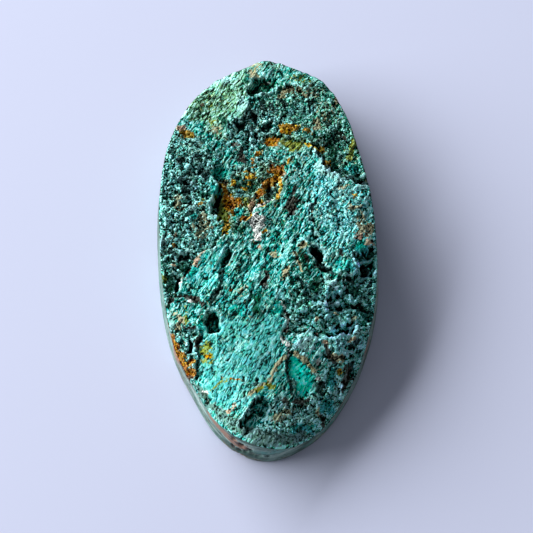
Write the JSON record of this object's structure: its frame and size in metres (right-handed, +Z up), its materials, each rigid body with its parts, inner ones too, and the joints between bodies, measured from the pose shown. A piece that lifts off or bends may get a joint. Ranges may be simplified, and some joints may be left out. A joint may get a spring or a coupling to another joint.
{
  "type": "azurite specimen",
  "caption": "Oval slice of blue-green copper ore with a rough broken top, ground side walls and a flat ground base.",
  "frame": {"origin": "centre of the flat ground base", "axes": "+Z up out of the broken top, +Y along the long axis of the oval towards the sage-green end, +X across it towards the low dark side"},
  "size_m": [0.0244, 0.0446, 0.0078],
  "materials": {
    "ore": "rough blue-green copper minerals with sage, ochre and rust patches; broken top, fine matt grind on the walls and base"
  },
  "bodies": {
    "root": {"stone": "ore"}
  },
  "joints": []
}
